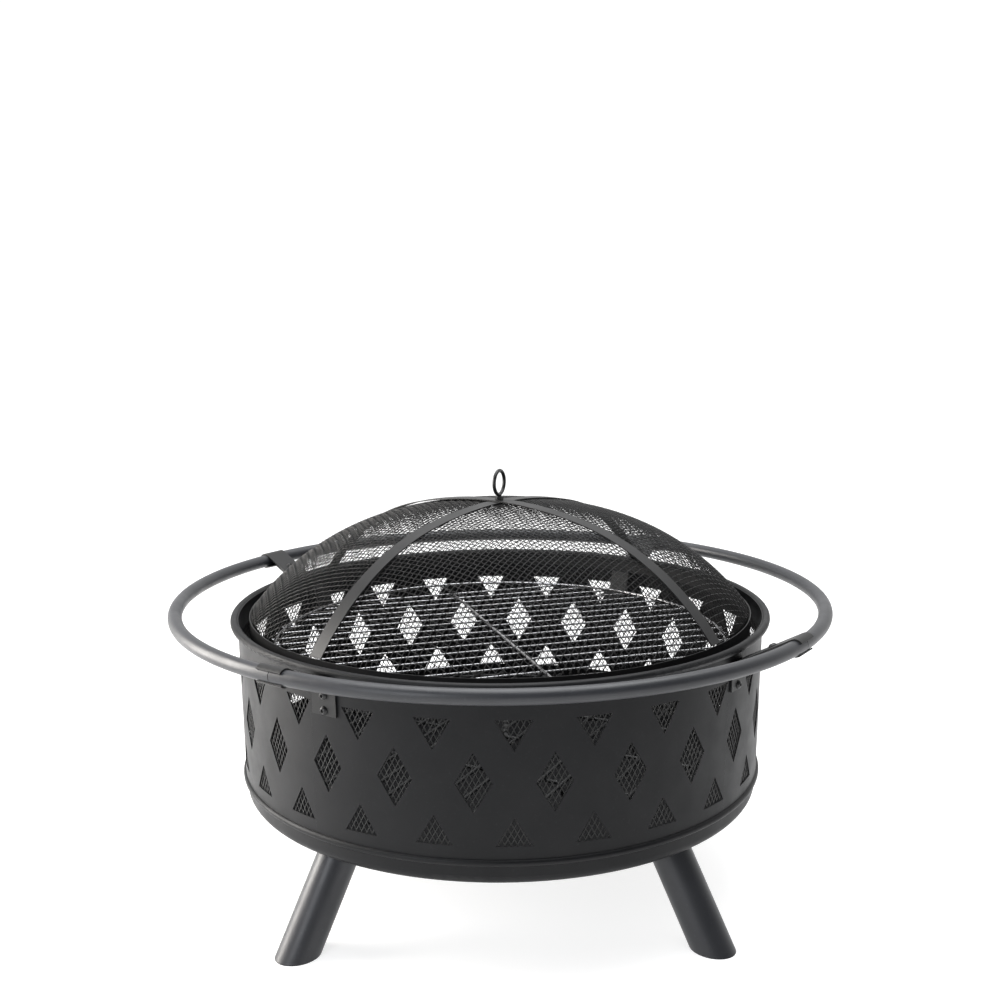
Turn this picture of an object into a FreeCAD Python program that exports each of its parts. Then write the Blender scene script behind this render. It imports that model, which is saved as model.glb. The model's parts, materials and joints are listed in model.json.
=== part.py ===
import FreeCAD, Part
import math
import os

import Sketcher
from FreeCAD import Placement, Rotation, Vector

# A round steel fire pit on four splayed legs, with an outer hand ring, a log grate, a lift-out
# cooking grate and a domed spark screen.  Millimetres, +Z up, origin on the ground under the middle.

DIMENSIONS = [
    # bowl wall: a rolled sheet with a bead at the rim and one above the pan
    ("wall_outer", 366.0),
    ("sheet", 1.2),
    ("wall_low", 166.0),
    ("rim_height", 391.0),
    ("rim_bead", 5.2),
    ("rim_bead_centre", 370.6),
    ("low_bead_height", 172.0),
    ("low_bead", 4.6),
    ("low_bead_centre", 365.2),
    # cut-outs round the wall: a triangle above, a diamond between, a triangle below
    ("cutout_width", 45.0),
    ("upper_base", 350.0),
    ("upper_tip", 311.5),
    ("diamond_top", 310.0),
    ("diamond_middle", 272.0),
    ("diamond_bottom", 235.0),
    ("lower_tip", 230.0),
    ("lower_base", 193.0),
    # pan
    ("pan_outer", 364.6),
    ("pan_top", 176.0),
    ("pan_under", 141.0),
    ("pan_corner", 13.0),
    # mesh liner behind the cut-outs, and its seam screws
    ("liner_outer", 364.6),
    ("liner_gauge", 0.5),
    ("liner_low", 180.0),
    ("liner_high", 366.0),
    ("seam_screw", 3.0),
    ("seam_screw_low", 334.0),
    ("seam_screw_high", 345.0),
    # legs
    ("leg_tube", 54.0),
    ("leg_gauge", 1.8),
    ("leg_foot", 378.0),
    ("leg_splay", 31.9),
    ("leg_plate_disc", 100.0),
    ("leg_plate_gauge", 3.0),
    ("leg_bolt_circle", 40.0),
    # outer ring of four tubes, each with a swaged end that plugs into the next
    ("ring_outer", 457.2),
    ("ring_tube", 19.0),
    ("ring_gauge", 1.2),
    ("ring_height", 406.0),
    ("swage", 16.2),
    # ring brackets and their clamp leaves
    ("strap", 2.0),
    ("bracket_width", 38.0),
    ("bracket_low", 335.0),
    ("bracket_slope", 30.0),
    ("bracket_bend", 5.0),
    ("leaf_drop", 15.0),
    ("leaf_inner", 402.0),
    ("clamp_bolt_radius", 412.0),
    ("wall_bolt_low", 341.0),
    ("wall_bolt_high", 360.0),
    ("hook_gauge", 2.0),
    ("hook_width", 30.0),
    ("hook_low", 334.0),
    ("hook_top", 375.0),
    ("hook_ledge", 343.5),
    ("hook_shoulder", 10.0),
    ("hook_slope", 73.0),
    ("hook_reach", 300.0),
    # fasteners
    ("bolt", 6.0),
    ("bolt_head", 11.0),
    ("bolt_head_height", 3.3),
    ("bolt_socket", 4.0),
    ("nut", 10.0),
    ("nut_height", 5.0),
    # log grate
    ("log_wire", 5.0),
    ("log_ring", 291.0),
    ("log_tip", 296.0),
    ("log_height", 195.0),
    ("log_pitch", 31.3),
    ("log_support_offset", 126.0),
    ("log_foot_offset", 170.0),
    ("log_foot_slope", 70.5),
    ("log_foot_width", 58.0),
    ("log_foot_fold", 8.0),
    # cooking grate
    ("cook_wire", 3.0),
    ("cook_ring_wire", 4.0),
    ("cook_ring", 318.0),
    ("cook_tip", 325.5),
    ("cook_height", 345.8),
    ("cook_pitch", 29.6),
    # spark screen
    ("screen_outer", 350.0),
    ("screen_base", 375.3),
    ("screen_band", 20.0),
    ("screen_band_gauge", 1.2),
    ("screen_mesh_gauge", 0.6),
    ("screen_tuck", 4.0),
    ("crown_radius", 680.0),
    ("crown_angle", 12.0),
    ("shoulder_angle", 52.0),
    ("rib_width", 20.0),
    ("rib_gauge", 1.5),
    ("eye_wire", 5.0),
    ("eye_ring", 38.0),
    ("eye_washer", 24.0),
]

QUARTERS = range(4)
CUTOUT_COLUMNS = 24
CUTOUT_AZIMUTH = 47.4
DIAMOND_SHIFT = 7.5
PANEL_AZIMUTH = 51.15
BRACKET_AZIMUTH = 54.9
LEG_AZIMUTH = 46.0
SEAM_AZIMUTH = 270.9
RIB_AZIMUTH = 50.0
MESH_GORES = 8
EYE_AZIMUTH = 65.0
LOG_BAR_AZIMUTH = 64.0
LOG_BARS = 17
COOK_BAR_AZIMUTH = 17.4
COOK_BARS = 19
SLACK = 0.1

doc = FreeCAD.newDocument("FirePit")
sheet = doc.addObject("Spreadsheet::Sheet", "Dims")
for row, (alias, number) in enumerate(DIMENSIONS, start=1):
    sheet.set(f"A{row}", alias)
    sheet.set(f"B{row}", str(number))
    sheet.setAlias(f"B{row}", alias)
doc.recompute()


class Size:
    """A number together with the sheet formula that drives it."""

    def __init__(self, number, formula):
        self.number = number
        self.formula = formula

    def joined(self, other, sign, number):
        return Size(number, f"({self.formula} {sign} {as_size(other).formula})")

    def __add__(self, other):
        return self.joined(other, "+", self.number + as_size(other).number)

    def __sub__(self, other):
        return self.joined(other, "-", self.number - as_size(other).number)

    def __mul__(self, other):
        return self.joined(other, "*", self.number * as_size(other).number)

    def __truediv__(self, other):
        return self.joined(other, "/", self.number / as_size(other).number)

    def __neg__(self):
        return self * -1


def as_size(value):
    if isinstance(value, Size):
        return value
    return Size(float(value), f"({float(value)})")


def dim(alias):
    return Size(float(sheet.get(alias)), f"Dims.{alias}")


def sine(angle):
    return Size(math.sin(math.radians(angle.number)), f"sin({angle.formula} * 1 deg)")


def cosine(angle):
    return Size(math.cos(math.radians(angle.number)), f"cos({angle.formula} * 1 deg)")


def root(value):
    return Size(math.sqrt(value.number), f"sqrt({value.formula})")


def bind(thing, **sizes):
    """Drive properties of a document object from the sheet; Base__z stands for Base.z."""
    for name, size in sizes.items():
        thing.setExpression(name.replace("__", "."), as_size(size).formula)


def turned(azimuth):
    return Placement(Vector(0, 0, 0), Rotation(Vector(0, 0, 1), azimuth))


# ---------------------------------------------------------------- sketching

class Path:
    """A run of straight lines and tangent arcs in the radial plane, from which a strip is drawn."""

    def __init__(self, x, y, heading):
        self.x = as_size(x)
        self.y = as_size(y)
        self.heading = as_size(heading)
        self.stations = [(self.x, self.y, self.heading, None)]

    def line(self, length):
        length = as_size(length)
        self.x = self.x + length * cosine(self.heading)
        self.y = self.y + length * sine(self.heading)
        self.stations.append((self.x, self.y, self.heading, None))
        return self

    def level_to(self, x):
        """Run straight to x; only for a level heading."""
        self.x = as_size(x)
        self.stations.append((self.x, self.y, self.heading, None))
        return self

    def bend(self, angle, radius):
        """Turn by angle (left is positive) on a centreline arc of the given radius."""
        angle = as_size(angle)
        radius = as_size(radius)
        side = math.copysign(1, angle.number)
        after = self.heading + angle
        self.x = self.x + (sine(after) - sine(self.heading)) * radius * side
        self.y = self.y - (cosine(after) - cosine(self.heading)) * radius * side
        self.heading = after
        self.stations.append((self.x, self.y, self.heading, radius * side))
        return self

    def edge(self, offset):
        """The path moved sideways by offset (left is positive), as outline points."""
        points = []
        for x, y, heading, arc in self.stations:
            moved_x = x - offset * sine(heading)
            moved_y = y + offset * cosine(heading)
            points.append((moved_x, moved_y, None if arc is None else arc - offset))
        return points

    def strip(self, gauge):
        """A closed outline of constant thickness, centred on the path."""
        right = self.edge(-gauge / 2)
        left = self.edge(gauge / 2)
        back = []
        arc_ahead = None
        for x, y, arc in reversed(left):
            back.append((x, y, arc_ahead))
            arc_ahead = None if arc is None else -arc
        return right + back


def sketch_on(body, name, role):
    sketch = body.newObject("Sketcher::SketchObject", name)
    plane = next(item for item in body.Origin.OriginFeatures if item.Role == role)
    sketch.AttachmentSupport = [(plane, "")]
    sketch.MapMode = "FlatFace"
    return sketch


def arc_between(start, end, radius):
    """Arc under half a turn from start to end; a positive radius turns left."""
    chord = end - start
    half = chord.Length / 2
    rise = math.sqrt(max(radius * radius - half * half, 0))
    left = Vector(-chord.y, chord.x, 0).normalize()
    centre = start + chord / 2 + left * math.copysign(rise, radius)
    first, last = (start, end) if radius > 0 else (end, start)
    angles = [math.atan2(point.y - centre.y, point.x - centre.x) for point in (first, last)]
    circle = Part.Circle(centre, Vector(0, 0, 1), abs(radius))
    return Part.ArcOfCircle(circle, angles[0], angles[1])


def pin_point(sketch, geometry, corner, x, y):
    """Hold a point of the sketch at sheet-driven coordinates."""
    for axis, size in (("DistanceX", x), ("DistanceY", y)):
        size = as_size(size)
        rule = Sketcher.Constraint(axis, -1, 1, geometry, corner, size.number)
        index = sketch.addConstraint(rule)
        sketch.setExpression(f"Constraints[{index}]", size.formula)


def outline(sketch, points):
    """Closed outline; a point is (x, y) or (x, y, signed radius of the arc that arrives at it)."""
    points = [tuple(point) + (None,) * (3 - len(point)) for point in points]
    points = [(x, y, None if arc is None else as_size(arc)) for x, y, arc in points]
    places = [Vector(as_size(x).number, as_size(y).number, 0) for x, y, _ in points]
    ends = []
    for index, (x, y, radius) in enumerate(points):
        before = places[index - 1]
        here = places[index]
        if radius is None:
            geometry = sketch.addGeometry(Part.LineSegment(before, here), False)
            ends.append((geometry, 1, 2))
            continue
        geometry = sketch.addGeometry(arc_between(before, here, radius.number), False)
        ends.append((geometry, 1, 2) if radius.number > 0 else (geometry, 2, 1))
        rule = sketch.addConstraint(Sketcher.Constraint("Radius", geometry, abs(radius.number)))
        sketch.setExpression(f"Constraints[{rule}]", f"abs({radius.formula})")
    for index, (geometry, _, last) in enumerate(ends):
        following, first, _ = ends[(index + 1) % len(ends)]
        sketch.addConstraint(Sketcher.Constraint("Coincident", geometry, last, following, first))
        x, y, _ = points[index]
        pin_point(sketch, geometry, last, x, y)


def circle(sketch, x, y, radius):
    x, y, radius = as_size(x), as_size(y), as_size(radius)
    ring = Part.Circle(Vector(x.number, y.number, 0), Vector(0, 0, 1), radius.number)
    geometry = sketch.addGeometry(ring, False)
    rule = sketch.addConstraint(Sketcher.Constraint("Radius", geometry, radius.number))
    sketch.setExpression(f"Constraints[{rule}]", radius.formula)
    pin_point(sketch, geometry, 3, x, y)


# ---------------------------------------------------------------- features

def new_body(label):
    body = doc.addObject("PartDesign::Body", label)
    body.Label = label
    body.AllowCompound = True
    return body


def revolution(body, points):
    """Turn an outline of the radial plane about Z."""
    sketch = sketch_on(body, "Profile", "XZ_Plane")
    outline(sketch, points)
    feature = body.newObject("PartDesign::Revolution", "Turned")
    feature.Profile = sketch
    feature.ReferenceAxis = (sketch, ["V_Axis"])
    feature.Angle = 360
    return feature


def pad(body, points, width, role="XZ_Plane"):
    """Extrude an outline to both sides of its plane."""
    sketch = sketch_on(body, "Outline", role)
    outline(sketch, points)
    feature = body.newObject("PartDesign::Pad", "Plate")
    feature.Profile = sketch
    feature.Midplane = True
    bind(feature, Length=width)
    return feature


def pocket(body, sketch, depth):
    """Cut a sketch to both sides of its plane, over the whole of depth."""
    feature = body.newObject("PartDesign::Pocket", "Cut")
    feature.Profile = sketch
    feature.Midplane = True
    bind(feature, Length=depth)
    return feature


def around(body, features, count):
    """Repeat features evenly round the Z axis."""
    pattern = body.newObject("PartDesign::PolarPattern", "Around")
    pattern.Originals = features
    z_axis = next(item for item in body.Origin.OriginFeatures if item.Role == "Z_Axis")
    pattern.Axis = (z_axis, [""])
    pattern.Angle = 360
    pattern.Occurrences = count
    body.Tip = pattern
    return pattern


def group(label, members):
    """Identical separate solids kept as one sub-part."""
    compound = doc.addObject("Part::Compound", label)
    compound.Label = label
    compound.Links = members
    return compound


def rod(name, radius, length, place):
    """A round bar along local Z, its middle at place."""
    bar = doc.addObject("Part::Cylinder", name)
    bind(bar, Radius=radius, Height=length)
    bar.Placement = place * Placement(Vector(0, 0, -length.number / 2), Rotation())
    return bar


def sectors(label, whole, azimuth, count):
    """Equal sectors of a round sub-part, each one its own solid."""
    pieces = []
    turn = 360 / count
    for number in range(count):
        wedge = doc.addObject("Part::Cylinder", f"{label}_{number}_wedge")
        bind(wedge, Radius=dim("ring_outer"), Height=dim("ring_outer") * 2)
        wedge.Angle = turn
        wedge.Placement = turned(azimuth + turn * number)
        piece = doc.addObject("Part::Common", f"{label}_{number}")
        piece.Label = f"{label}_{number}"
        piece.Base, piece.Tool = whole, wedge
        pieces.append(piece)
    return pieces


def hoop(label, radius, wire, height):
    ring = doc.addObject("Part::Torus", label)
    ring.Label = label
    bind(ring, Radius1=radius, Radius2=wire / 2)
    ring.Placement = Placement(Vector(0, 0, as_size(height).number), Rotation())
    return ring


# ---------------------------------------------------------------- bowl

def bowl_wall():
    """Rolled wall with both beads, the cut-outs and the bracket bolt holes, in four quarters."""
    body = new_body("whole_wall")
    outer = dim("wall_outer")
    inner = outer - dim("sheet")
    rim, rim_out = dim("rim_bead"), dim("rim_bead_centre")
    low, low_out = dim("low_bead"), dim("low_bead_centre")
    rim_rise = root(rim * rim - (rim_out - outer) * (rim_out - outer))
    low_rise = root(low * low - (low_out - outer) * (low_out - outer))
    revolution(body, [
        (inner, dim("wall_low")),
        (outer, dim("wall_low")),
        (outer, dim("low_bead_height") - low_rise),
        (outer, dim("low_bead_height") + low_rise, low),
        (outer, dim("rim_height") - rim_rise),
        (rim_out + rim, dim("rim_height"), rim),
        (outer, dim("rim_height") + rim_rise, rim),
        (inner, dim("rim_height") + rim_rise),
    ])
    half = dim("cutout_width") / 2
    bolt_holes = bracket_bolt_holes(body, BRACKET_AZIMUTH - CUTOUT_AZIMUTH)
    triangles = wall_sketch(body, "Triangles", 0)
    outline(triangles, [(-half, dim("upper_base")), (0, dim("upper_tip")), (half, dim("upper_base"))])
    outline(triangles, [(-half, dim("lower_base")), (half, dim("lower_base")), (0, dim("lower_tip"))])
    diamonds = wall_sketch(body, "Diamonds", DIAMOND_SHIFT)
    outline(diamonds, [
        (-half, dim("diamond_middle")),
        (0, dim("diamond_bottom")),
        (half, dim("diamond_middle")),
        (0, dim("diamond_top")),
    ])
    for sketch, count in ((bolt_holes, 4), (triangles, CUTOUT_COLUMNS), (diamonds, CUTOUT_COLUMNS)):
        around(body, [pocket(body, sketch, dim("sheet") * 30)], count)
    body.Placement = turned(CUTOUT_AZIMUTH)
    return sectors("bowl_wall", body, PANEL_AZIMUTH, len(QUARTERS))


def wall_sketch(body, name, azimuth):
    """Sketch on a plane that touches the wall's outside at an azimuth of the body."""
    sketch = sketch_on(body, name, "YZ_Plane")
    out, turn = dim("wall_outer").number, math.radians(azimuth)
    touch = Vector(out * math.sin(turn), 0, out * math.cos(turn))
    sketch.AttachmentOffset = Placement(touch, Rotation(Vector(0, 1, 0), azimuth))
    return sketch


def bracket_bolt_holes(body, azimuth):
    """Sketch of the two bolt holes behind a ring bracket."""
    sketch = wall_sketch(body, "BoltHoles", azimuth)
    for height in ("wall_bolt_low", "wall_bolt_high"):
        circle(sketch, 0, dim(height), dim("bolt") / 2 + SLACK)
    return sketch


def bowl_pan():
    """Shallow dished pan that closes the bottom of the wall."""
    body = new_body("bowl_pan")
    outer, gauge = dim("pan_outer"), dim("sheet")
    corner, under = dim("pan_corner"), dim("pan_under")
    revolution(body, [
        (0, under),
        (outer - corner, under),
        (outer, under + corner, corner),
        (outer, dim("pan_top")),
        (outer - gauge, dim("pan_top")),
        (outer - gauge, under + corner),
        (outer - corner, under + gauge, gauge - corner),
        (0, under + gauge),
    ])
    sketch = sketch_on(body, "BoltHoles", "XY_Plane")
    for x, y in leg_bolt_places():
        circle(sketch, x, y, dim("bolt") / 2 + SLACK)
    around(body, [pocket(body, sketch, under * 4)], 4)
    body.Placement = turned(LEG_AZIMUTH)
    return body


def mesh_liner():
    """Expanded-metal liner, as a thin sleeve of the outer shape with its screw and bolt holes."""
    body = new_body("mesh_liner")
    outer = dim("liner_outer")
    inner = outer - dim("liner_gauge")
    low, high = dim("liner_low"), dim("liner_high")
    revolution(body, [(inner, low), (outer, low), (outer, high), (inner, high)])
    around(body, [pocket(body, bracket_bolt_holes(body, BRACKET_AZIMUTH), dim("sheet") * 30)], 4)
    seam = wall_sketch(body, "SeamHoles", SEAM_AZIMUTH)
    for height in ("seam_screw_low", "seam_screw_high"):
        circle(seam, 0, dim(height), dim("seam_screw") / 2 + SLACK)
    pocket(body, seam, dim("sheet") * 30)
    return body


def liner_seam_screws():
    """Two small screws that close the liner's seam, heads outward in a cut-out."""
    gauge = dim("liner_gauge")
    shank, head, washer = dim("seam_screw") / 2, 3.0, 3.5
    screws = []
    for height in ("seam_screw_low", "seam_screw_high"):
        body = new_body(height)
        revolution(body, [
            (0, -gauge - 4),
            (washer, -gauge - 4),
            (washer, -gauge - SLACK),
            (shank, -gauge - SLACK),
            (shank, SLACK),
            (head, SLACK),
            (head * 0.5, 1.8, 2.5),
            (0, 1.8),
        ])
        body.Placement = turned(SEAM_AZIMUTH) * Placement(
            Vector(dim("liner_outer").number, 0, dim(height).number), Rotation(Vector(0, 1, 0), 90))
        screws.append(body)
    return group("liner_seam_screws", screws)


# ---------------------------------------------------------------- legs

def leg_top_radius():
    """Distance from the middle to a leg's axis at the top of the tube."""
    top = dim("pan_under") - dim("leg_plate_gauge")
    return dim("leg_foot") - top * sine(dim("leg_splay")) / cosine(dim("leg_splay"))


def leg_bolt_places():
    """The three bolts of the plate on the +X leg, one inward and two outward."""
    middle, circle_radius = leg_top_radius(), dim("leg_bolt_circle")
    return [(middle + circle_radius * cosine(as_size(angle)), circle_radius * sine(as_size(angle)))
            for angle in (60, 180, 300)]


def leg(number):
    """Splayed round tube, cut level at the ground and under its plate."""
    azimuth = LEG_AZIMUTH + 90 * number
    top = dim("pan_under") - dim("leg_plate_gauge")
    splay = dim("leg_splay").number
    overrun = 40.0
    tubes = []
    outer = dim("leg_tube") / 2
    for name, radius in (("outside", outer), ("inside", outer - dim("leg_gauge"))):
        tube = doc.addObject("Part::Cylinder", f"leg_{number}_{name}")
        bind(tube, Radius=radius, Height=top / cosine(dim("leg_splay")) + 2 * overrun)
        lean = Placement(Vector(dim("leg_foot").number, 0, 0), Rotation(Vector(0, 1, 0), -splay))
        tube.Placement = lean * Placement(Vector(0, 0, -overrun), Rotation())
        tubes.append(tube)
    hollow = doc.addObject("Part::Cut", f"leg_{number}_hollow")
    hollow.Base, hollow.Tool = tubes
    slab = doc.addObject("Part::Box", f"leg_{number}_slab")
    bind(slab, Length=500, Width=200, Height=top)
    slab.Placement = Placement(Vector(100, -100, 0), Rotation())
    trimmed = doc.addObject("Part::Common", f"leg_{number}")
    trimmed.Label = f"leg_{number}"
    trimmed.Base, trimmed.Tool = hollow, slab
    trimmed.Placement = turned(azimuth)
    return trimmed


def leg_plate(number):
    """Round plate welded on a leg, bolted up against the pan."""
    body = new_body(f"leg_plate_{number}")
    sketch = sketch_on(body, "Disc", "XY_Plane")
    circle(sketch, leg_top_radius(), 0, dim("leg_plate_disc") / 2)
    for x, y in leg_bolt_places():
        circle(sketch, x, y, dim("bolt") / 2 + SLACK)
    bind(sketch, AttachmentOffset__Base__z=dim("pan_under") - dim("leg_plate_gauge"))
    feature = body.newObject("PartDesign::Pad", "Plate")
    feature.Profile = sketch
    bind(feature, Length=dim("leg_plate_gauge"))
    body.Placement = turned(LEG_AZIMUTH + 90 * number)
    return body


# ---------------------------------------------------------------- fasteners

def bolt(name, length, place):
    """Button-head socket bolt: head underside at local zero, shank down local Z."""
    body = new_body(name)
    head, shank, crown = dim("bolt_head") / 2, dim("bolt") / 2, dim("bolt_head_height")
    length = as_size(length)
    revolution(body, [
        (0, -length),
        (shank - 0.6, -length),
        (shank, -length + 0.6),
        (shank, 0),
        (head, 0),
        (head, crown * 0.2),
        (head * 0.5, crown, head * 0.9),
        (0, crown),
    ])
    socket = sketch_on(body, "Socket", "XY_Plane")
    corner = dim("bolt_socket") / 2 / cosine(as_size(30))
    outline(socket, [(corner * cosine(as_size(angle)), corner * sine(as_size(angle)))
                     for angle in range(0, 360, 60)])
    bind(socket, AttachmentOffset__Base__z=crown)
    pocket(body, socket, crown)
    body.Placement = place
    return body


def nut(name, place):
    """Hexagon nut standing on local zero."""
    blank = doc.addObject("Part::Prism", f"{name}_blank")
    blank.Polygon = 6
    bind(blank, Circumradius=dim("nut") / 2 / cosine(as_size(30)), Height=dim("nut_height"))
    bore = doc.addObject("Part::Cylinder", f"{name}_bore")
    bind(bore, Radius=dim("bolt") / 2 + SLACK, Height=dim("nut_height"))
    ring = doc.addObject("Part::Cut", name)
    ring.Base = blank
    ring.Tool = bore
    ring.Placement = place
    return ring


def fastened(bolt_label, nut_label, places, grip, thread=9.0):
    """A bolt and its nut at each place; local Z is the bolt's axis, zero the head's underside."""
    bolts, nuts = [], []
    far_side = Placement(Vector(0, 0, -as_size(grip).number), Rotation(Vector(1, 0, 0), 180))
    for index, place in enumerate(places):
        bolts.append(bolt(f"{bolt_label}_{index}", as_size(grip) + thread, place))
        nuts.append(nut(f"{nut_label}_{index}", place * far_side))
    return [group(bolt_label, bolts), group(nut_label, nuts)]


def bracket_fasteners():
    """Bolts through each bracket, the wall, the liner and the hook inside."""
    outside = dim("wall_outer") + dim("strap") + 2 * SLACK
    inside = hook_plate_x() - dim("hook_gauge") / 2 - SLACK
    radial = Rotation(Vector(0, 1, 0), 90)
    places = [turned(BRACKET_AZIMUTH + 90 * quarter)
              * Placement(Vector(outside.number, 0, dim(height).number), radial)
              for quarter in QUARTERS for height in ("wall_bolt_low", "wall_bolt_high")]
    return fastened("bracket_bolts", "bracket_nuts", places, outside - inside)


def leg_fasteners():
    """Three bolts down through the pan and each leg plate."""
    floor = dim("pan_under") + dim("sheet") + SLACK
    grip = dim("sheet") + dim("leg_plate_gauge") + 2 * SLACK
    places = [turned(LEG_AZIMUTH + 90 * quarter)
              * Placement(Vector(x.number, y.number, floor.number), Rotation())
              for quarter in QUARTERS for x, y in leg_bolt_places()]
    return fastened("leg_bolts", "leg_nuts", places, grip)


def clamp_fasteners():
    """One bolt square through each arm and its clamp leaf."""
    x, z = arm_point(dim("clamp_bolt_radius"))
    lean = Rotation(Vector(0, 1, 0), -dim("bracket_slope").number)
    above = Placement(Vector(0, 0, dim("strap").number / 2 + SLACK), Rotation())
    places = [turned(BRACKET_AZIMUTH + 90 * quarter)
              * Placement(Vector(x.number, 0, z.number), lean) * above
              for quarter in QUARTERS]
    return fastened("clamp_bolts", "clamp_nuts", places, dim("strap") * 2 + 3 * SLACK, thread=7.0)


# ---------------------------------------------------------------- ring and its brackets

def ring_centre():
    return dim("ring_outer") - dim("ring_tube") / 2


def torus_part(name, radius, azimuth, sweep):
    tube = doc.addObject("Part::Torus", name)
    bind(tube, Radius1=ring_centre(), Radius2=radius, Angle3=sweep)
    tube.Placement = Placement(
        Vector(0, 0, dim("ring_height").number), Rotation(Vector(0, 0, 1), azimuth))
    return tube


def ring_tube(number):
    """A quarter of the outer ring: hollow tube, with a swaged end inside the next quarter."""
    joint = 0.1
    swage_sweep = 3.5
    start = BRACKET_AZIMUTH + 90 * number
    bore = dim("ring_tube") / 2 - dim("ring_gauge")
    name = f"ring_tube_{number}"
    tube = doc.addObject("Part::Cut", f"{name}_tube")
    tube.Base = torus_part(f"{name}_outside", dim("ring_tube") / 2, start + joint, 90 - joint)
    tube.Tool = torus_part(f"{name}_bore", bore, start + joint, 90 - joint)
    plug = doc.addObject("Part::Cut", f"{name}_swage")
    plug_start = start - swage_sweep
    plug.Base = torus_part(f"{name}_plug", dim("swage") / 2, plug_start, 2 * swage_sweep)
    plug_bore = dim("swage") / 2 - dim("ring_gauge")
    plug.Tool = torus_part(f"{name}_plug_bore", plug_bore, plug_start, 2 * swage_sweep)
    shoulder = doc.addObject("Part::Cut", f"{name}_shoulder")
    shoulder.Base = torus_part(f"{name}_collar", bore + 0.3, start + 1, swage_sweep - 1)
    shoulder.Tool = torus_part(f"{name}_collar_bore", dim("swage") / 2 - 0.2, start + 1, swage_sweep - 1)
    quarter = doc.addObject("Part::MultiFuse", name)
    quarter.Label = name
    quarter.Shapes = [tube, plug, shoulder]
    return quarter


def arm_point(radius):
    """Mid-thickness point of the sloping arm at a distance from the middle."""
    slope = dim("bracket_slope")
    wrap = dim("ring_tube") / 2 + dim("strap") / 2 + SLACK
    touch_x = ring_centre() - wrap * sine(slope)
    touch_z = dim("ring_height") + wrap * cosine(slope)
    return radius, touch_z - (touch_x - radius) * sine(slope) / cosine(slope)


def radial_hole(body, height, radius):
    sketch = sketch_on(body, "Hole", "YZ_Plane")
    circle(sketch, 0, height, radius)
    pocket(body, sketch, 900)


def leaf_hole(body):
    """Clamp bolt hole square to the sloping arm."""
    sketch = sketch_on(body, "ClampHole", "XY_Plane")
    circle(sketch, 0, 0, dim("bolt") / 2 + SLACK)
    x, z = arm_point(dim("clamp_bolt_radius"))
    lean = Rotation(Vector(0, 1, 0), -dim("bracket_slope").number)
    sketch.AttachmentOffset = Placement(Vector(x.number, 0, z.number), lean)
    pocket(body, sketch, 16)


def ring_bracket(number):
    """Strap that bolts to the wall, slopes out under the rim and curls over the ring."""
    body = new_body(f"ring_bracket_{number}")
    slope, bend = dim("bracket_slope"), dim("bracket_bend")
    plate_x = dim("wall_outer") + dim("strap") / 2 + SLACK
    _, corner_z = arm_point(plate_x)
    turn = -(as_size(90) - slope)
    setback = bend * sine((as_size(90) - slope) / 2) / cosine((as_size(90) - slope) / 2)
    wrap = dim("ring_tube") / 2 + dim("strap") / 2 + SLACK
    touch_x = ring_centre() - wrap * sine(slope)
    path = Path(plate_x, dim("bracket_low"), 90)
    path.line(corner_z - setback - dim("bracket_low"))
    path.bend(turn, bend)
    path.line((touch_x - plate_x) / cosine(slope) - setback)
    path.bend(-80, wrap)
    pad(body, path.strip(dim("strap")), dim("bracket_width"))
    for height in ("wall_bolt_low", "wall_bolt_high"):
        radial_hole(body, dim(height), dim("bolt") / 2 + SLACK)
    leaf_hole(body)
    body.Placement = turned(BRACKET_AZIMUTH + 90 * number)
    return body


def clamp_leaf(number):
    """Short leaf bolted under the arm, which curls under the ring tube."""
    body = new_body(f"clamp_leaf_{number}")
    slope, drop = dim("bracket_slope"), dim("leaf_drop")
    wrap = dim("ring_tube") / 2 + dim("strap") / 2 + SLACK
    below = dim("strap") + SLACK
    start_x, arm_z = arm_point(dim("leaf_inner"))
    start_z = arm_z - below / cosine(slope)
    touch_x = ring_centre() - wrap * sine(drop)
    touch_z = dim("ring_height") - wrap * cosine(drop)
    rise = sine(slope) / cosine(slope)
    fall = sine(drop) / cosine(drop)
    corner_x = (touch_z + touch_x * fall - start_z + start_x * rise) / (rise + fall)
    bend = 4.0
    turn = (slope + drop) / 2
    setback = sine(turn) / cosine(turn) * bend
    path = Path(start_x, start_z, slope)
    path.line((corner_x - start_x) / cosine(slope) - setback)
    path.bend(-(slope + drop), bend)
    path.line((touch_x - corner_x) / cosine(drop) - setback)
    path.bend(60, wrap)
    pad(body, path.strip(dim("strap")), dim("bracket_width"))
    leaf_hole(body)
    body.Placement = turned(BRACKET_AZIMUTH + 90 * number)
    return body


def hook_plate_x():
    """Mid-thickness of the hook's plate inside the liner."""
    return dim("liner_outer") - dim("liner_gauge") - 0.4 - dim("hook_gauge") / 2


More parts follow.
